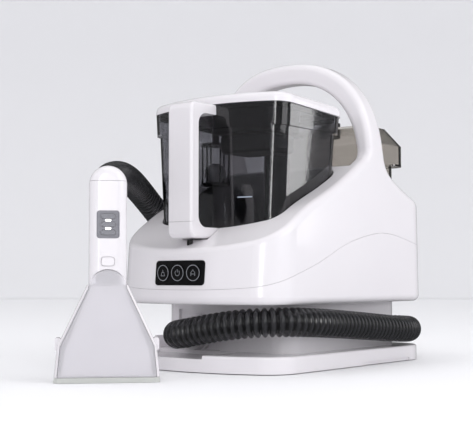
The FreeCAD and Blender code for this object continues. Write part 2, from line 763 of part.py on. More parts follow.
def valve_poppet():
    y = (clean_front + clean_rear) / 2
    stem = rod(2.2, vec(0, y, clean_bottom + 3), vec(0, y, clean_bottom + 14))
    return fuse([stem, rod(7.5, vec(0, y, clean_bottom + 6.4), vec(0, y, clean_bottom + 9))])


# ---------------------------------------------------------------- hand tool
def place_tool(shape):
    shape.rotate(vec(0, 0, 0), vec(0, 0, 1), tool_turn)
    shape.translate(vec(tool_x, tool_y, 0))
    return shape


def grip_block(inset, low):
    radius = grip_half - inset
    centre = grip_top - grip_half
    a, b = vec(radius, 0, low), vec(radius, 0, centre)
    c, d = vec(-radius, 0, centre), vec(-radius, 0, low)
    face = Part.Face(wire([Part.LineSegment(a, b), Part.Arc(b, vec(0, 0, centre + radius), c),
                           Part.LineSegment(c, d), Part.LineSegment(d, a)]))
    block = along(face, -grip_depth + inset, grip_depth - inset)
    return block.makeFillet(grip_edge - inset, edges(block, lambda b: b.YLength < 0.1 and b.ZMax > low + 1))


def cuff_point(reach):
    angle = math.radians(cuff_tilt)
    return vec(0, cuff_start + reach * math.cos(angle), cuff_z + reach * math.sin(angle))


def window_face(inset, low):
    """Front outline of the clear window: a trapezoid under a round arch."""
    slope = (ear_half - neck_half) / (grip_bottom - ear_height)
    shoulder = grip_bottom - 4
    arch_half = neck_half - window_edge - inset
    ear = ear_half - window_edge - inset
    foot = ear + (mouth_half - ear_half) * (ear_height - low) / ear_height
    a, b, c = vec(foot, 0, low), vec(ear, 0, ear_height), vec(arch_half + slope * 4, 0, shoulder)
    left = [vec(-p.x, 0, p.z) for p in (a, b, c)]
    return Part.Face(wire([Part.LineSegment(a, b), Part.LineSegment(b, c),
                           Part.Arc(c, vec(0, 0, window_top - inset), left[2]),
                           Part.LineSegment(left[2], left[1]), Part.LineSegment(left[1], left[0]),
                           Part.LineSegment(left[0], a)]))


def rounded_box_outline(half_x, half_y, corner, z):
    """A rectangle with round corners, at one height."""
    curves = []
    last = None
    for quarter, (sign_x, sign_y) in enumerate(((1, 1), (-1, 1), (-1, -1), (1, -1))):
        centre = vec(sign_x * (half_x - corner), sign_y * (half_y - corner), z)
        turns = [math.pi / 2 * quarter + math.pi / 4 * step for step in range(3)]
        arc = [centre + vec(corner * math.cos(turn), corner * math.sin(turn), 0) for turn in turns]
        if last:
            curves.append(Part.LineSegment(last, arc[0]))
        else:
            first = arc[0]
        curves.append(Part.Arc(*arc))
        last = arc[2]
    curves.append(Part.LineSegment(last, first))
    return wire(curves)


def nozzle_block(inset, low, high):
    """The nozzle's flaring body between two heights."""
    sections = [(mouth_half, mouth_depth, 0), (ear_half, mouth_depth + 1, ear_height),
                (neck_half, grip_depth, grip_bottom), (neck_half, grip_depth, grip_bottom + 40)]
    rings = [rounded_box_outline(x - inset, y - inset, nozzle_corner - inset, z) for x, y, z in sections]
    block = fuse([straight_loft(a, b) for a, b in zip(rings, rings[1:])])
    return block.common(box(-SIDE, SIDE, -SIDE, SIDE, low, high))


def pill(x, z, half_x, half_z, corner):
    """A short bar with round corners through the front of the grip."""
    bar = box(x - half_x, x + half_x, -grip_depth - 3, -grip_depth + 9, z - half_z, z + half_z)
    return bar.makeFillet(corner, edges(bar, lambda b: b.YLength > 8))


def hand_tool():
    """Every piece of the hand tool, by name, in place."""
    cuff_rod = rod(cuff_radius + 0.05, cuff_point(4), cuff_point(90))
    hose_room = rod(port_bore, cuff_point(-12), cuff_point(90))
    shell = grip_block(0, grip_bottom).cut(grip_block(grip_wall, grip_bottom - 1))
    shell = shell.cut(cuff_rod).cut(hose_room)
    recess = along(window_face(-0.5, 20), -grip_depth - 1, -grip_depth + window_thick + 0.5)
    shell = shell.cut(recess)
    middle = (tool_panel_low + tool_panel_high) / 2
    panel_bar = pill(0, middle, tool_panel_width / 2, middle - tool_panel_low, 3)
    panel_room = grip_block(1.6, grip_bottom)
    latch_bar = pill(0, key_latch_z, key_latch_half, key_latch_tall / 2, 2.8)
    latch_hole = pill(0, key_latch_z, key_latch_half + 0.4, key_latch_tall / 2 + 0.4, 3.2)
    shell = shell.cut(panel_bar.cut(panel_room)).cut(latch_hole)
    key_places = [(0, middle - key_pitch), (0, middle), (0, middle + key_pitch)]
    led_places = [(0, middle - key_pitch / 2), (0, middle + key_pitch / 2)]
    panel = grip_block(-0.25, grip_bottom).common(panel_bar).cut(panel_room)
    parts = {}
    names = ("tool_key_lower", "tool_key_middle", "tool_key_upper")
    for name, (x, z) in zip(names, key_places):
        oval = pill(x, z, key_half, key_tall / 2, key_tall / 2 - 0.1)
        slot = pill(x, z, key_half + key_gap, key_tall / 2 + key_gap, key_tall / 2 + key_gap - 0.1)
        panel = panel.cut(slot)
        shell = shell.cut(slot)
        parts[name] = oval.common(grip_block(-0.7, grip_bottom)).cut(grip_block(3.2, grip_bottom))
    leds = []
    for x, z in led_places:
        lens = pill(x, z, 3, 1.1, 1)
        lens = lens.common(grip_block(-0.35, grip_bottom)).cut(grip_block(1.2, grip_bottom))
        panel = panel.cut(lens)
        leds.append(lens)
    front_half = box(-SIDE, SIDE, -SIDE, 0, 0, cap_seam)
    rear_half = box(-SIDE, SIDE, 0.2, SIDE, 0, cap_seam)
    cap_zone = box(-SIDE, SIDE, -SIDE, SIDE, cap_seam + 0.3, SIDE)
    parts["tool_handle_front"] = shell.common(front_half)
    parts["tool_handle_rear"] = shell.common(rear_half)
    parts["tool_end_cap"] = shell.common(cap_zone)
    parts["tool_panel"] = panel
    parts["tool_leds"] = Part.makeCompound(leds)
    cuff = rod(cuff_radius, cuff_point(4), cuff_point(cuff_length)).cut(hose_room)
    parts["tool_hose_cuff"] = cuff.cut(grip_block(grip_wall + 0.2, grip_bottom)).Solids[0]
    latch = latch_bar.common(grip_block(-1.2, grip_bottom))
    parts["nozzle_latch"] = latch.cut(grip_block(3.4, grip_bottom))

    block = nozzle_block(0, lip_height + 0.3, grip_bottom - 0.3)
    room = nozzle_block(nozzle_wall, 0, grip_bottom + 5)
    pane = along(window_face(0, lip_height + 0.3), -SIDE, 0).common(
        nozzle_block(0, lip_height, grip_bottom + 30).fuse(grip_block(0, grip_bottom)))
    pane_clear = along(window_face(-0.4, -1), -SIDE, -6)
    ears = []
    for side in (-1, 1):
        ear = box(side * (ear_half - 0.5) - 3, side * (ear_half - 0.5) + 3, -6, 8, 31, 44)
        ears.append(ear.makeFillet(2.6, edges(ear, lambda b: b.YLength > 10)))
    parts["nozzle_shell"] = fuse([block] + ears).cut(room).cut(pane_clear)
    pane = pane.cut(nozzle_block(window_thick, 0, grip_bottom + 30)).cut(grip_block(window_thick, 50))
    pane = pane.cut(box(-SIDE, SIDE, -grip_depth + window_thick, SIDE, grip_bottom - 5, SIDE))
    parts["nozzle_window"] = pane
    lip = nozzle_block(0, 0, lip_height).cut(nozzle_block(nozzle_wall, 0, lip_height + 1))
    parts["nozzle_lip"] = lip
    parts["spray_tip"] = fuse([rod(3.5, vec(0, 6, spray_z), vec(0, 13, spray_z)),
                               rod(2, vec(0, 2, spray_z), vec(0, 8, spray_z))])
    return {name: place_tool(shape) for name, shape in parts.items()}


# ---------------------------------------------------------------- assembly
def build():
    parts = {}
    outer = body_outer()
    lower, upper = body_shells(outer)
    hoop_middle = across(Part.Face(Part.makePolygon(
        [vec(0, -60, 400), vec(0, 30, 400), vec(0, 32, 345), vec(0, 43, 300), vec(0, 54, hoop_cover_low),
         vec(0, -60, hoop_cover_low), vec(0, -60, 400)])))
    duct_hole = rod(port_bore + 3, vec(standpipe_x, standpipe_y, 60), vec(standpipe_x, standpipe_y, 155))
    upper = upper.cut(duct_hole)
    hoop_rear = box(-SIDE, SIDE, -SIDE, SIDE, hoop_cover_low, SIDE)
    deck_zone = body_loft(shell_wall + shell_gap, deck_height - 1, deck_floor)
    deck_zone = deck_zone.common(box(-SIDE, SIDE, -115, SIDE, 0, SIDE))
    parts["handle_front_half"] = upper.common(hoop_middle)
    parts["handle_rear_half"] = upper.cut(hoop_middle).common(hoop_rear)
    parts["tank_deck"] = upper.common(deck_zone)
    parts["upper_shell"] = upper.cut(hoop_middle).cut(hoop_rear).cut(deck_zone)
    duct_y = standpipe_y - 3
    lower = lower.cut(rod(port_bore + 9, vec(standpipe_x, duct_y, 60), vec(standpipe_x, duct_y, 90)))
    grille_edge = grille_half + shell_gap
    lower = lower.cut(box(-grille_edge, grille_edge, body_rear - 12, body_rear + 5,
                          grille_low, grille_high))
    parts["lower_shell"] = lower.cut(rod(gland_radius + shaft_fit, vec(gland_x, body_rear - 20, gland_z),
                                         vec(gland_x, body_rear + 5, gland_z)))
    parts["base_tray"] = base_tray()
    parts["hose_guard"] = hose_guard()
    parts["rubber_feet"] = Part.makeCompound([rod(9, vec(x, y, 0), vec(x, y, 3)) for x, y in foot_places()])
    parts["base_screws"] = Part.makeCompound([screw(x, y, base_height - 4.5, 18)
                                              for x, y in waist_screws()])
    parts["waist_column"] = waist_column()
    parts["hose_port"] = hose_port()
    parts["suction_duct"] = suction_duct()
    parts["fan_housing"] = fan_housing()
    parts["motor_can"] = motor_can()
    parts["fan_impeller"] = fan_impeller()
    parts["motor_shaft"] = motor_shaft()
    parts["pump_body"] = pump_body()
    parts["pump_plunger"] = pump_plunger()
    parts["cord_gland"] = cord_gland()
    parts["exhaust_grille"] = exhaust_grille()
    parts["control_panel"] = control_panel()
    board_front = body_front + 9.5
    parts["control_board"] = box(-board_half, board_half, board_front, board_front + board_thick,
                                 panel_height - board_tall / 2, panel_height + board_tall / 2)
    for name, x in zip(("button_left", "button_power", "button_right"), button_places()):
        parts[name] = button(x)
    parts["tank_latch"] = rod(latch_radius, vec(latch_x, latch_y, 136), vec(latch_x, latch_y, latch_tip))
    parts["dirty_tank"] = dirty_tank()
    parts["tank_handle"], parts["tank_handle_cover"] = tank_handles()
    parts["tank_lid"] = tank_lid()
    parts["lid_seal"] = lid_seal()
    parts["standpipe"] = standpipe()
    parts["float_cage"] = float_cage()
    parts["tank_float"] = tank_float()
    parts["clean_tank"], parts["clean_tank_top"] = clean_tanks()
    parts["clean_tank_cap"] = clean_cap()
    parts["valve_seat"] = valve_seat()
    parts["valve_poppet"] = valve_poppet()
    parts.update(hand_tool())
    hose, length, radii = pipe(hose_route, hose_diameter / 2)
    parts["suction_hose"] = hose
    full = math.pi * hose_diameter ** 2 / 4 * length
    print("hose length", round(length), "volume ratio", round(hose.Volume / full, 4))
    print("bend radii", [round(radius) for radius in radii])
    return parts


def main():
    os.makedirs("parts", exist_ok=True)
    for name, shape in build().items():
        state = "valid" if shape.isValid() else "INVALID"
        print(name, len(shape.Solids), state, round(shape.Volume / 1000, 1))
        shape.exportStep("parts/" + name + ".step")


main()
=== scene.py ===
"""Portable spot cleaner: finishes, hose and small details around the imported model.  Metres."""
import math
import bmesh
import bpy
from mathutils import Matrix, Vector


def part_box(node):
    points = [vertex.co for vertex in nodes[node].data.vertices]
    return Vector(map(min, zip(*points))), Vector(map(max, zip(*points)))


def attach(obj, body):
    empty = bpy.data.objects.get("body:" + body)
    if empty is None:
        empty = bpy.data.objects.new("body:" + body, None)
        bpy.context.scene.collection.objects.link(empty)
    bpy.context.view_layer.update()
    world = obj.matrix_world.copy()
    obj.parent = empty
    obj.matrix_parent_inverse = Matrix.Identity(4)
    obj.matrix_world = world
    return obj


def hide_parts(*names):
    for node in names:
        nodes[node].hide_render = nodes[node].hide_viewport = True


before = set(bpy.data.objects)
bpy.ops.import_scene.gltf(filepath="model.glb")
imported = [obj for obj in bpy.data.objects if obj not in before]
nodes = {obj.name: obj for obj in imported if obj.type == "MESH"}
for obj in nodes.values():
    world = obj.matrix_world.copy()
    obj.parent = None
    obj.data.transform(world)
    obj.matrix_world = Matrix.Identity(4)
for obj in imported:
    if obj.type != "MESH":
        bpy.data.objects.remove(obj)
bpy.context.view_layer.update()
MM = 0.001


# ---------------------------------------------------------------- camera
def make_camera():
    """A long lens, low and to the right of the machine's nose."""
    data = bpy.data.cameras.new("camera")
    data.sensor_width = 36.0
    data.lens = 81.8
    eye = bpy.data.objects.new("camera", data)
    bpy.context.scene.collection.objects.link(eye)
    turn, rise = math.radians(38.2), math.radians(2.9)
    look = Vector((-math.sin(turn) * math.cos(rise), math.cos(turn) * math.cos(rise), math.sin(rise)))
    eye.location = (0.7798, -1.0659, 0.103)
    eye.rotation_euler = look.to_track_quat("-Z", "Y").to_euler()
    bpy.context.scene.camera = eye


make_camera()


# ---------------------------------------------------------------- material helpers
def linear(code):
    """An sRGB hex colour as linear RGBA."""
    channels = [int(code[i:i + 2], 16) / 255 for i in (0, 2, 4)]
    return [c / 12.92 if c <= 0.04045 else ((c + 0.055) / 1.055) ** 2.4 for c in channels] + [1.0]


def add(tree, kind, inputs=(), **settings):
    """Adds a node; inputs are (socket, value or output socket) pairs."""
    node = tree.nodes.new(kind)
    for name, value in settings.items():
        setattr(node, name, value)
    for socket, value in inputs:
        if isinstance(value, bpy.types.NodeSocket):
            tree.links.new(value, node.inputs[socket])
        else:
            node.inputs[socket].default_value = value
    return node


def material(name, colour, rough, ior=1.5, **sockets):
    """A principled finish; returns the material, its tree and its shader."""
    made = bpy.data.materials.new(name)
    made.use_nodes = True
    tree = made.node_tree
    shader = tree.nodes["Principled BSDF"]
    shader.inputs["Base Color"].default_value = linear(colour)
    shader.inputs["Roughness"].default_value = rough
    shader.inputs["IOR"].default_value = ior
    for socket, value in sockets.items():
        shader.inputs[socket.replace("_", " ")].default_value = value
    return made, tree, shader


def grain(tree, shader, size_mm, depth_mm, rough_low, rough_high):
    """Fine moulded texture: bump at one real size, and roughness that varies slowly."""
    place = add(tree, "ShaderNodeTexCoord").outputs["Object"]
    fine = add(tree, "ShaderNodeTexNoise",
               [("Vector", place), ("Scale", 1 / (size_mm * MM)), ("Detail", 2.0)])
    bump = add(tree, "ShaderNodeBump",
               [("Height", fine.outputs["Fac"]), ("Distance", depth_mm * MM), ("Strength", 0.6)])
    tree.links.new(bump.outputs["Normal"], shader.inputs["Normal"])
    slow = add(tree, "ShaderNodeTexNoise", [("Vector", place), ("Scale", 14.0), ("Detail", 3.0)])
    spread = add(tree, "ShaderNodeMapRange",
                 [("Value", slow.outputs["Fac"]), ("To Min", rough_low), ("To Max", rough_high)])
    tree.links.new(spread.outputs["Result"], shader.inputs["Roughness"])


def blend_colour(tree, shader, factor, first, second):
    """A base colour that runs from one shade to another; 6 and 7 are the mix's colour inputs."""
    mix = add(tree, "ShaderNodeMix", [(0, factor), (6, linear(first)), (7, linear(second))],
              data_type="RGBA")
    tree.links.new(mix.outputs[2], shader.inputs["Base Color"])


def tint(tree, shader, first, second, scale):
    """Two close shades of one plastic, clouded into each other."""
    place = add(tree, "ShaderNodeTexCoord").outputs["Object"]
    cloud = add(tree, "ShaderNodeTexNoise", [("Vector", place), ("Scale", scale), ("Detail", 4.0)])
    blend_colour(tree, shader, cloud.outputs["Fac"], first, second)


# ---------------------------------------------------------------- materials
def glossy_white_abs():
    """High-gloss injection-moulded ABS: clean highlights, a cool white body colour."""
    made, tree, shader = material("glossy_white_abs", "EDEBEE", 0.2, 1.54,
                                  Coat_Weight=0.25, Coat_Roughness=0.06)
    grain(tree, shader, 0.9, 0.006, 0.17, 0.25)
    tint(tree, shader, "EAE7EB", "EFECEF", 9.0)
    return made


def smoke_san():
    """Dark smoke-tinted SAN, polished in the mould: nearly black where two walls overlap."""
    made, tree, shader = material("smoke_san", "A4A4A8", 0.03, 1.57, Transmission_Weight=1.0)
    grain(tree, shader, 6.0, 0.02, 0.02, 0.05)
    return made


def grey_san():
    """Light smoke-tinted SAN of the clean tank."""
    made, tree, shader = material("grey_san", "D2CEC8", 0.05, 1.57, Transmission_Weight=1.0)
    grain(tree, shader, 6.0, 0.02, 0.04, 0.09)
    return made


def clear_polycarbonate():
    """Water-clear polycarbonate window of the nozzle, a little hazed inside."""
    made, tree, shader = material("clear_polycarbonate", "F3F1F6", 0.06, 1.5, Alpha=0.42)
    grain(tree, shader, 5.0, 0.02, 0.05, 0.14)
    return made


def frosted_tpe():
    """Milky thermoplastic elastomer of the mouth strip."""
    made, tree, shader = material("frosted_tpe", "E2E4E0", 0.35, 1.5, Transmission_Weight=0.25)
    grain(tree, shader, 0.7, 0.02, 0.3, 0.42)
    return made


def black_acrylic():
    """Piano-black acrylic of the control panel."""
    made, tree, shader = material("black_acrylic", "0B0B0D", 0.05, 1.49)
    grain(tree, shader, 4.0, 0.004, 0.04, 0.08)
    return made


def black_hose_pe():
    """Blow-moulded black polyethylene hose, with painted light: crests painted lighter as a painted
    highlight, grooves darker as painted shade.
    """
    made, tree, shader = material("black_hose_pe", "0B0B0C", 0.24, 1.51,
                                  Coat_Weight=0.3, Coat_Roughness=0.12)
    grain(tree, shader, 1.2, 0.02, 0.2, 0.3)
    # painted light: the base colour runs from painted shade in the grooves (050506) to a painted
    # highlight on the crests (2E2E31)
    crest_rise_and_highlight = add(tree, "ShaderNodeAttribute", attribute_name="crest_rise_and_highlight")
    blend_colour(tree, shader, crest_rise_and_highlight.outputs["Fac"], "050506", "2E2E31")
    return made


def black_abs():
    """Fine-textured black ABS of cuffs, latch and cap."""
    made, tree, shader = material("black_abs", "121214", 0.4, 1.54)
    grain(tree, shader, 0.6, 0.02, 0.34, 0.48)
    return made


def grey_satin_abs():
    """Satin mid-grey ABS of the hand tool's panel."""
    made, tree, shader = material("grey_satin_abs", "7F7F86", 0.35, 1.54)
    grain(tree, shader, 0.5, 0.01, 0.3, 0.42)
    return made


def key_abs():
    """The same grey ABS, a shade lighter on the keys."""
    made, tree, shader = material("key_abs", "808087", 0.32, 1.54)
    grain(tree, shader, 0.5, 0.01, 0.28, 0.38)
    return made


def white_diffuser():
    """Milk-white PMMA light diffuser, faintly lit."""
    made, tree, shader = material("white_diffuser", "FFFFFF", 0.3, 1.49, Emission_Strength=1.6)
    shader.inputs["Emission Color"].default_value = linear("FFFFFF")
    grain(tree, shader, 0.5, 0.005, 0.25, 0.35)
    return made


def print_grey():
    """Pad-printed light grey ink of rings and symbols."""
    made, tree, shader = material("print_grey", "8E9096", 0.45, 1.5)
    grain(tree, shader, 0.3, 0.004, 0.4, 0.5)
    return made


def line_print():
    """Pale blue-grey printed fill line."""
    made, tree, shader = material("line_print", "A9B4C4", 0.45, 1.5)
    grain(tree, shader, 0.3, 0.004, 0.4, 0.5)
    return made


def foot_rubber():
    """Matt black nitrile rubber."""
    made, tree, shader = material("foot_rubber", "161616", 0.8, 1.52)
    grain(tree, shader, 0.4, 0.05, 0.7, 0.9)
    return made


def pressed_steel():
    """Zinc-plated pressed steel with a drawn grain."""
    made, tree, shader = material("pressed_steel", "B4B4B0", 0.35, Metallic=1.0)
    grain(tree, shader, 0.8, 0.01, 0.28, 0.42)
    return made


def grey_pp():
    """Unpainted grey polypropylene of the inner mouldings."""
    made, tree, shader = material("grey_pp", "6C6C70", 0.5, 1.49)
    grain(tree, shader, 0.8, 0.02, 0.42, 0.58)
    return made


def white_pp():
    """Natural white polypropylene of the riser and float."""
    made, tree, shader = material("white_pp", "DEDEDF", 0.4, 1.49)
    grain(tree, shader, 0.8, 0.02, 0.32, 0.48)
    return made


def board_laminate():
    """Green solder-masked glass-epoxy board."""
    made, tree, shader = material("board_laminate", "1F5A36", 0.4, 1.5)
    grain(tree, shader, 0.4, 0.01, 0.35, 0.5)
    return made


FINISHES = {
    glossy_white_abs: ["base_tray", "waist_column", "hose_port", "lower_shell", "upper_shell",
                       "handle_front_half", "handle_rear_half", "tank_deck", "hose_guard",
                       "tank_handle", "tank_handle_cover", "tank_lid", "tool_handle_front",
                       "tool_handle_rear", "tool_end_cap", "nozzle_shell", "nozzle_latch"],
    smoke_san: ["dirty_tank"],
    grey_san: ["clean_tank", "clean_tank_top"],
    clear_polycarbonate: ["nozzle_window"],
    frosted_tpe: ["nozzle_lip"],
    black_acrylic: ["control_panel", "button_left", "button_power", "button_right"],
    black_hose_pe: [],
    black_abs: ["standpipe", "float_cage", "tool_hose_cuff", "clean_tank_cap", "tank_latch",
                "cord_gland"],
    grey_satin_abs: ["tool_panel"],
    key_abs: ["tool_key_lower", "tool_key_middle", "tool_key_upper"],
    white_diffuser: ["tool_leds"],
    print_grey: [],
    line_print: [],
    foot_rubber: ["rubber_feet", "lid_seal", "valve_seat"],
    pressed_steel: ["base_screws", "motor_can", "motor_shaft"],
    grey_pp: ["fan_housing", "fan_impeller", "pump_body", "pump_plunger", "suction_duct",
              "exhaust_grille", "valve_poppet", "spray_tip"],
    white_pp: ["tank_float"],
    board_laminate: ["control_board"],
}


def apply_finishes():
    """Makes every finish once and puts it on its CAD nodes."""
    made = {}
    for make, names in FINISHES.items():
        made[make.__name__] = make()
        for name in names:
            slots = nodes[name].data.materials
            slots.clear()
            slots.append(made[make.__name__])
    return made


finish = apply_finishes()


# ---------------------------------------------------------------- mesh helpers
def mesh_piece(name, verts, faces, finish_name, body, smooth=True):
    """One mesh object that rides a body."""
    mesh = bpy.data.meshes.new(name)
    mesh.from_pydata([tuple(v) for v in verts], [], faces)
    mesh.update()
    piece = bpy.data.objects.new(name, mesh)
    bpy.context.scene.collection.objects.link(piece)
    mesh.materials.append(finish[finish_name])
    for polygon in mesh.polygons:
        polygon.use_smooth = smooth
    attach(piece, body)
    return piece


# ---------------------------------------------------------------- hose
hose_route = [(-42, -112, 38), (-42, -128.5, 38), (-34, -143, 38.5), (-19.5, -151.5, 40.5),
              (4, -154, 44), (36, -153.5, 49.5), (70, -147, 54), (97, -131, 55.5), (112, -100, 55),
              (115, -44, 51.5), (114.5, 30, 46), (115.5, 92, 41), (112, 130, 39), (98, 158, 38.5),
              (70, 173, 38.5), (22, 174.5, 38), (-34, 172.5, 38.5), (-76, 169, 40), (-110, 159, 44),
              (-135, 134, 55), (-149, 98, 80), (-154, 50, 115), (-153, -6, 153), (-145, -56, 187),
              (-127, -106, 210), (-102, -150, 219), (-75, -193, 220), (-49, -234, 213.5),
              (-31, -257.5, 204.5), (-16.8, -271.3, 195.3)]
hose_diameter = 32.3 * MM
groove_diameter = 24.4 * MM
rib_pitch = 7.8 * MM
steps_per_rib = 10
points_around = 44
crest_width = 0.55              # below one, crests are broad and grooves narrow


def route_line(route):
    """Points along the route's smooth curve, close together."""
    curve = bpy.data.curves.new("hose_route", "CURVE")
    curve.dimensions = "3D"
    spline = curve.splines.new("NURBS")
    spline.points.add(len(route) - 1)
    for point, place in zip(spline.points, route):
        point.co = [c * MM for c in place] + [1.0]
    spline.order_u = 3
    spline.use_endpoint_u = True
    spline.resolution_u = 24
    holder = bpy.data.objects.new("hose_route", curve)
    bpy.context.scene.collection.objects.link(holder)
    mesh = bpy.data.meshes.new_from_object(holder)
    points = [v.co.copy() for v in mesh.vertices]
    bpy.data.objects.remove(holder)
    bpy.data.curves.remove(curve)
    bpy.data.meshes.remove(mesh)
    return points


def walk(points, steps):
    """Evenly spaced places and directions along a line of points."""
    lengths = [0.0]
    for a, b in zip(points, points[1:]):
        lengths.append(lengths[-1] + (b - a).length)
    out = []
    segment = 0
    for i in range(steps + 1):
        want = lengths[-1] * i / steps
        while segment < len(points) - 2 and lengths[segment + 1] < want:
            segment += 1
        a, b = points[segment], points[segment + 1]
        share = (want - lengths[segment]) / (lengths[segment + 1] - lengths[segment])
        out.append(a.lerp(b, share))
    ahead = [(q - p).normalized() for p, q in zip(out, out[1:])]
    directions = [ahead[0]] + [(p + q).normalized() for p, q in zip(ahead, ahead[1:])] + [ahead[-1]]
    return out, directions, lengths[-1]


def corrugated_hose():
    """The ribbed suction hose, with how far each point stands up on its crest; that rise also paints
    highlights on the crests and shade in the grooves.
    """
    line = route_line(hose_route)
    total = sum((b - a).length for a, b in zip(line, line[1:]))
    ribs = round(total / rib_pitch)
    around = points_around
    places, directions, total = walk(line, ribs * steps_per_rib)
    verts, faces, crest_highlight_mask = [], [], []
    side = directions[0].orthogonal().normalized()
    for i, (place, direction) in enumerate(zip(places, directions)):
        side = (side - direction * side.dot(direction)).normalized()
        other = direction.cross(side)
        crest_rise_and_highlight = (0.5 - 0.5 * math.cos(2 * math.pi * i / steps_per_rib)) ** crest_width
        radius = (groove_diameter + (hose_diameter - groove_diameter) * crest_rise_and_highlight) / 2
        crest_highlight_mask += [crest_rise_and_highlight] * around
        for j in range(around):
            angle = 2 * math.pi * j / around
            verts.append(place + (side * math.cos(angle) + other * math.sin(angle)) * radius)
    for i in range(len(places) - 1):
        for j in range(around):
            k = (j + 1) % around
            faces.append((i * around + j, i * around + k, (i + 1) * around + k, (i + 1) * around + j))
    faces.append(tuple(range(around))[::-1])
    faces.append(tuple(range((len(places) - 1) * around, len(places) * around)))
    hose = mesh_piece("corrugated_hose", verts, faces, "black_hose_pe", "root")
    # the crest rise is stored as a layer that drives the hose's painted highlight on the crests and
    # painted shade in the grooves
    painted_crest_shading = hose.data.attributes.new("crest_rise_and_highlight", "FLOAT", "POINT")
    painted_crest_shading.data.foreach_set("value", crest_highlight_mask)
    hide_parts("suction_hose")
    return hose


corrugated_hose()


# ---------------------------------------------------------------- printed rings and symbols
def flat_ring(name, outline_out, outline_in, place, turn, thick, finish_name, body):
    """A thin ring between two outlines, on a vertical face that looks along -Y before turning."""
    count = len(outline_out)
    verts = []
    for y in (0.0, -thick):
        verts += [(x, y, z) for x, z in outline_out] + [(x, y, z) for x, z in outline_in]
    faces = []
    for i in range(count):
        j = (i + 1) % count
        back_out, back_in, front_out, front_in = 0, count, 2 * count, 3 * count
        faces.append((front_out + i, front_out + j, front_in + j, front_in + i))
        faces.append((back_out + j, back_out + i, back_in + i, back_in + j))
        faces.append((back_out + i, back_out + j, front_out + j, front_out + i))
        faces.append((back_in + j, back_in + i, front_in + i, front_in + j))
    spin = Matrix.Translation(place) @ Matrix.Rotation(turn, 4, "Z")
    moved = [spin @ Vector(v) for v in verts]
    return mesh_piece(name, moved, faces, finish_name, body, smooth=False)


def flat_plate(name, outline, place, turn, thick, finish_name, body):
    """A thin printed shape with one outline."""
    count = len(outline)
    verts = [(x, 0.0, z) for x, z in outline] + [(x, -thick, z) for x, z in outline]
    faces = [tuple(range(count))[::-1], tuple(range(count, 2 * count))]
    faces += [(i, (i + 1) % count, count + (i + 1) % count, count + i) for i in range(count)]
    spin = Matrix.Translation(place) @ Matrix.Rotation(turn, 4, "Z")
    moved = [spin @ Vector(v) for v in verts]
    return mesh_piece(name, moved, faces, finish_name, body, smooth=False)


def ellipse(half_x, half_z, count=48):
    """Points round an ellipse about the origin."""
    angles = [2 * math.pi * i / count for i in range(count)]
    return [(half_x * math.cos(a), half_z * math.sin(a)) for a in angles]


def stroke(path, width):
    """Outline of a line of even width along a few points."""
    left, right = [], []
    for i, (x, z) in enumerate(path):
        before, after = path[max(i - 1, 0)], path[min(i + 1, len(path) - 1)]
        dx, dz = after[0] - before[0], after[1] - before[1]
        span = math.hypot(dx, dz)
        nx, nz = -dz / span * width / 2, dx / span * width / 2
        left.append((x + nx, z + nz))
        right.append((x - nx, z - nz))
    return right + left[::-1]


def arc(radius, first, last, step):
    """Points on a circle, by degrees from the top."""
    angles = [math.radians(a) for a in range(first, last + 1, step)]
    return [(radius * math.sin(a), radius * math.cos(a)) for a in angles]


print_thick = 0.06 * MM
nose_radius = 240 * MM          # bow of the control panel, which turns each print to face outward
BUTTON_SYMBOLS = {
    "button_left": [[(-3.0, -3.2), (-1.6, 0.6), (1.6, 0.6), (3.0, -3.2)],
                    [(0, 0.8), (0, 3.6)],
                    [(-3.0, -3.2), (3.0, -3.2)]],
    "button_power": [arc(3.2, 40, 320, 20),
                     [(0, 0.6), (0, 4.0)]],
    "button_right": [[(-2.6, -3.4), (-2.6, 0.2), (0, 3.4), (2.6, 0.2), (2.6, -3.4)],
                     [(-2.6, -1.2), (2.6, -1.2)]],
}


def button_prints():
    """A ring and a plain symbol on each button."""
    outer, inner, line = 8.9 * MM, 8.1 * MM, 0.6 * MM
    for name, lines in BUTTON_SYMBOLS.items():
        low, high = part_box(name)
        place = Vector(((low.x + high.x) / 2, low.y - 0.02 * MM, (low.z + high.z) / 2))
        turn = math.asin(place.x / nose_radius)
        flat_ring(name + "_ring", ellipse(outer, outer), ellipse(inner, inner),
                  place, turn, print_thick, "print_grey", name)
        for index, path in enumerate(lines):
            outline = stroke([(x * MM, z * MM) for x, z in path], line)
            flat_plate(f"{name}_symbol_{index}", outline, place, turn, print_thick,
                       "print_grey", name)


# ---------------------------------------------------------------- hand tool details
tool_place = Vector((14, -301, 0)) * MM
tool_turn = math.radians(46)
grip_depth = 17.0 * MM          # from the tool's axis to the front of its grip
key_stand = 0.72 * MM           # from the grip's front to just above the keys


def tool_frame():
    """Where the hand tool stands, and which way it faces."""
    return Matrix.Translation(tool_place) @ Matrix.Rotation(tool_turn, 4, "Z")


def key_prints():
    """A pale oval outline on each key of the hand tool."""
    spot = tool_frame()
    for name in ("tool_key_lower", "tool_key_middle", "tool_key_upper"):
        low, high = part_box(name)
        height = ((low + high) / 2).z
        place = spot @ Vector((0.0, -(grip_depth + key_stand), height))
        flat_ring(name + "_outline", ellipse(6.6 * MM, 2.0 * MM), ellipse(6.2 * MM, 1.6 * MM),
                  place, tool_turn, 0.05 * MM, "print_grey", name)


def nozzle_funnel():
    """The white suction channel behind the clear window of the nozzle."""
    spot = tool_frame()
    bottom, knee, top, front = 6.5 * MM, 32 * MM, 95 * MM, -9.2 * MM
    half_mouth, half_knee, half_neck = 45 * MM, 41 * MM, 16 * MM
    outline = [(-half_mouth, bottom), (half_mouth, bottom), (half_knee, knee), (half_neck, top),
               (-half_neck, top), (-half_knee, knee)]
    flat_plate("nozzle_funnel", outline, spot @ Vector((0.0, front, 0.0)), tool_turn, 1.5 * MM,
               "glossy_white_abs", "nozzle")


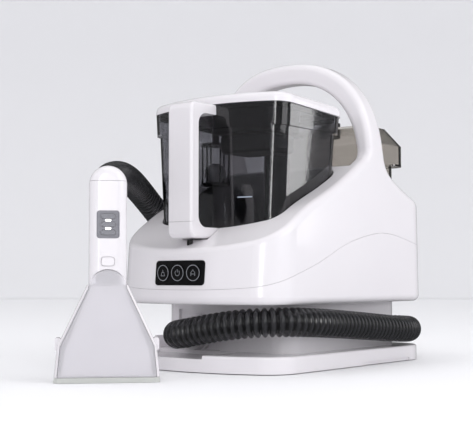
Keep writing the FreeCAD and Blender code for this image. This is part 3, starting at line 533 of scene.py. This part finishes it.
# ---------------------------------------------------------------- dirty tank details
def tank_front_y(x):
    """The bowed front face of the dirty tank at the height of its fill line, in millimetres."""
    bow, front = 240.0, -129.0
    return front + bow - math.sqrt(bow ** 2 - x ** 2)


def fill_line():
    """A short pale line on the tank, over the groove that marks the highest water."""
    verts, faces = [], []
    steps, low, high = 8, 192.3, 193.6
    for i in range(steps + 1):
        x = 41 + 18 * i / steps
        y = tank_front_y(x)
        verts += [Vector((x, y - out, z)) * MM for z in (low, high) for out in (0.02, 0.09)]
    for i in range(steps):
        a, b = 4 * i, 4 * i + 4
        for j, k in ((0, 1), (1, 3), (3, 2), (2, 0)):
            faces.append((a + j, a + k, b + k, b + j))
    faces += [(0, 2, 3, 1), (4 * steps, 4 * steps + 1, 4 * steps + 3, 4 * steps + 2)]
    mesh_piece("fill_line", verts, faces, "line_print", "dirty_tank", smooth=False)


def separator():
    """The black baffle box that hangs under the tank lid, with a smaller step below it."""
    boxes = {"separator_box": ((-10, -109, 268), (70, -44, 302)),
             "separator_step": ((-2, -104, 246), (66, -50, 268))}
    corner_radius = 5 * MM
    for name, corners in boxes.items():
        low, high = [Vector(corner) * MM for corner in corners]
        made = bmesh.new()
        bmesh.ops.create_cube(made, size=1.0)
        bmesh.ops.scale(made, vec=high - low, verts=made.verts)
        bmesh.ops.translate(made, vec=(low + high) / 2, verts=made.verts)
        bmesh.ops.bevel(made, geom=made.edges[:], offset=corner_radius, segments=3,
                        affect="EDGES", profile=0.5)
        mesh = bpy.data.meshes.new(name)
        made.to_mesh(mesh)
        made.free()
        mesh.materials.append(finish["black_abs"])
        piece = bpy.data.objects.new(name, mesh)
        bpy.context.scene.collection.objects.link(piece)
        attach(piece, "tank_lid")


button_prints()
fill_line()
separator()
key_prints()
nozzle_funnel()


# ---------------------------------------------------------------- stage and light
def make_stage():
    """A pale round floor that sweeps up on every side, wide enough to hold the camera anywhere."""
    flat, sweep, top, around = 4.0, 1.6, 5.0, 72
    profile = [(flat, 0.0)]
    for i in range(1, 13):
        angle = math.pi / 2 * i / 12
        profile.append((flat + sweep * math.sin(angle), sweep - sweep * math.cos(angle)))
    profile.append((flat + sweep, top))
    drop = 0.0002
    verts = [(0.0, 0.0, -drop)]
    for radius, z in profile:
        for j in range(around):
            angle = 2 * math.pi * j / around
            verts.append((radius * math.cos(angle), radius * math.sin(angle), z - drop))
    faces = [(0, 1 + j, 1 + (j + 1) % around) for j in range(around)]
    for i in range(len(profile) - 1):
        low, high = 1 + i * around, 1 + (i + 1) * around
        for j in range(around):
            k = (j + 1) % around
            faces.append((low + j, low + k, high + k, high + j))
    mesh = bpy.data.meshes.new("floor")
    mesh.from_pydata(verts, [], faces)
    for polygon in mesh.polygons[around:]:
        polygon.use_smooth = True
    floor = bpy.data.objects.new("floor", mesh)
    bpy.context.scene.collection.objects.link(floor)
    paper, tree, shader = material("backdrop_paper", "F3F3F5", 0.9, Specular_IOR_Level=0.0)
    grain(tree, shader, 1.5, 0.02, 0.85, 0.95)
    mesh.materials.append(paper)
    floor.visible_glossy = False    # gloss mirrors the lamps, not the paper


def area_light(name, place, aim, size, power):
    """A white rectangular lamp that the camera doesn't see."""
    data = bpy.data.lights.new(name, "AREA")
    data.shape = "RECTANGLE"
    data.size, data.size_y = size
    data.energy = power
    lamp = bpy.data.objects.new(name, data)
    lamp.location = place
    lamp.visible_camera = False
    lamp.rotation_euler = (Vector(aim) - Vector(place)).to_track_quat("-Z", "Y").to_euler()
    bpy.context.scene.collection.objects.link(lamp)


def make_light():
    """A bright sky for matt surfaces, a dim one for gloss, and five lamps."""
    world = bpy.data.worlds.new("studio")
    world.use_nodes = True
    sky = world.node_tree.nodes["Background"]
    sky.inputs["Color"].default_value = linear("F5F5F6")
    path = add(world.node_tree, "ShaderNodeLightPath")
    strength = add(world.node_tree, "ShaderNodeMapRange",
                   [("Value", path.outputs["Is Glossy Ray"]), ("To Min", 1.12), ("To Max", 0.16)])
    world.node_tree.links.new(strength.outputs["Result"], sky.inputs["Strength"])
    bpy.context.scene.world = world
    centre = (0, -0.05, 0.17)
    area_light("key", (-0.9, -1.7, 1.5), centre, (1.4, 1.0), 1.8)
    area_light("strip", (0.85, -1.3, 0.42), centre, (0.22, 0.6), 3.0)
    area_light("side", (1.7, 0.1, 0.9), centre, (1.2, 1.2), 7.0)
    area_light("edge", (1.5, 1.86, 0.49), (0.09, -0.1, 0.23), (0.13, 0.55), 0.8)
    area_light("top", (0.1, -0.25, 1.7), centre, (1.5, 0.45), 2.8)


make_stage()
make_light()
bpy.context.scene.view_settings.view_transform = "Standard"
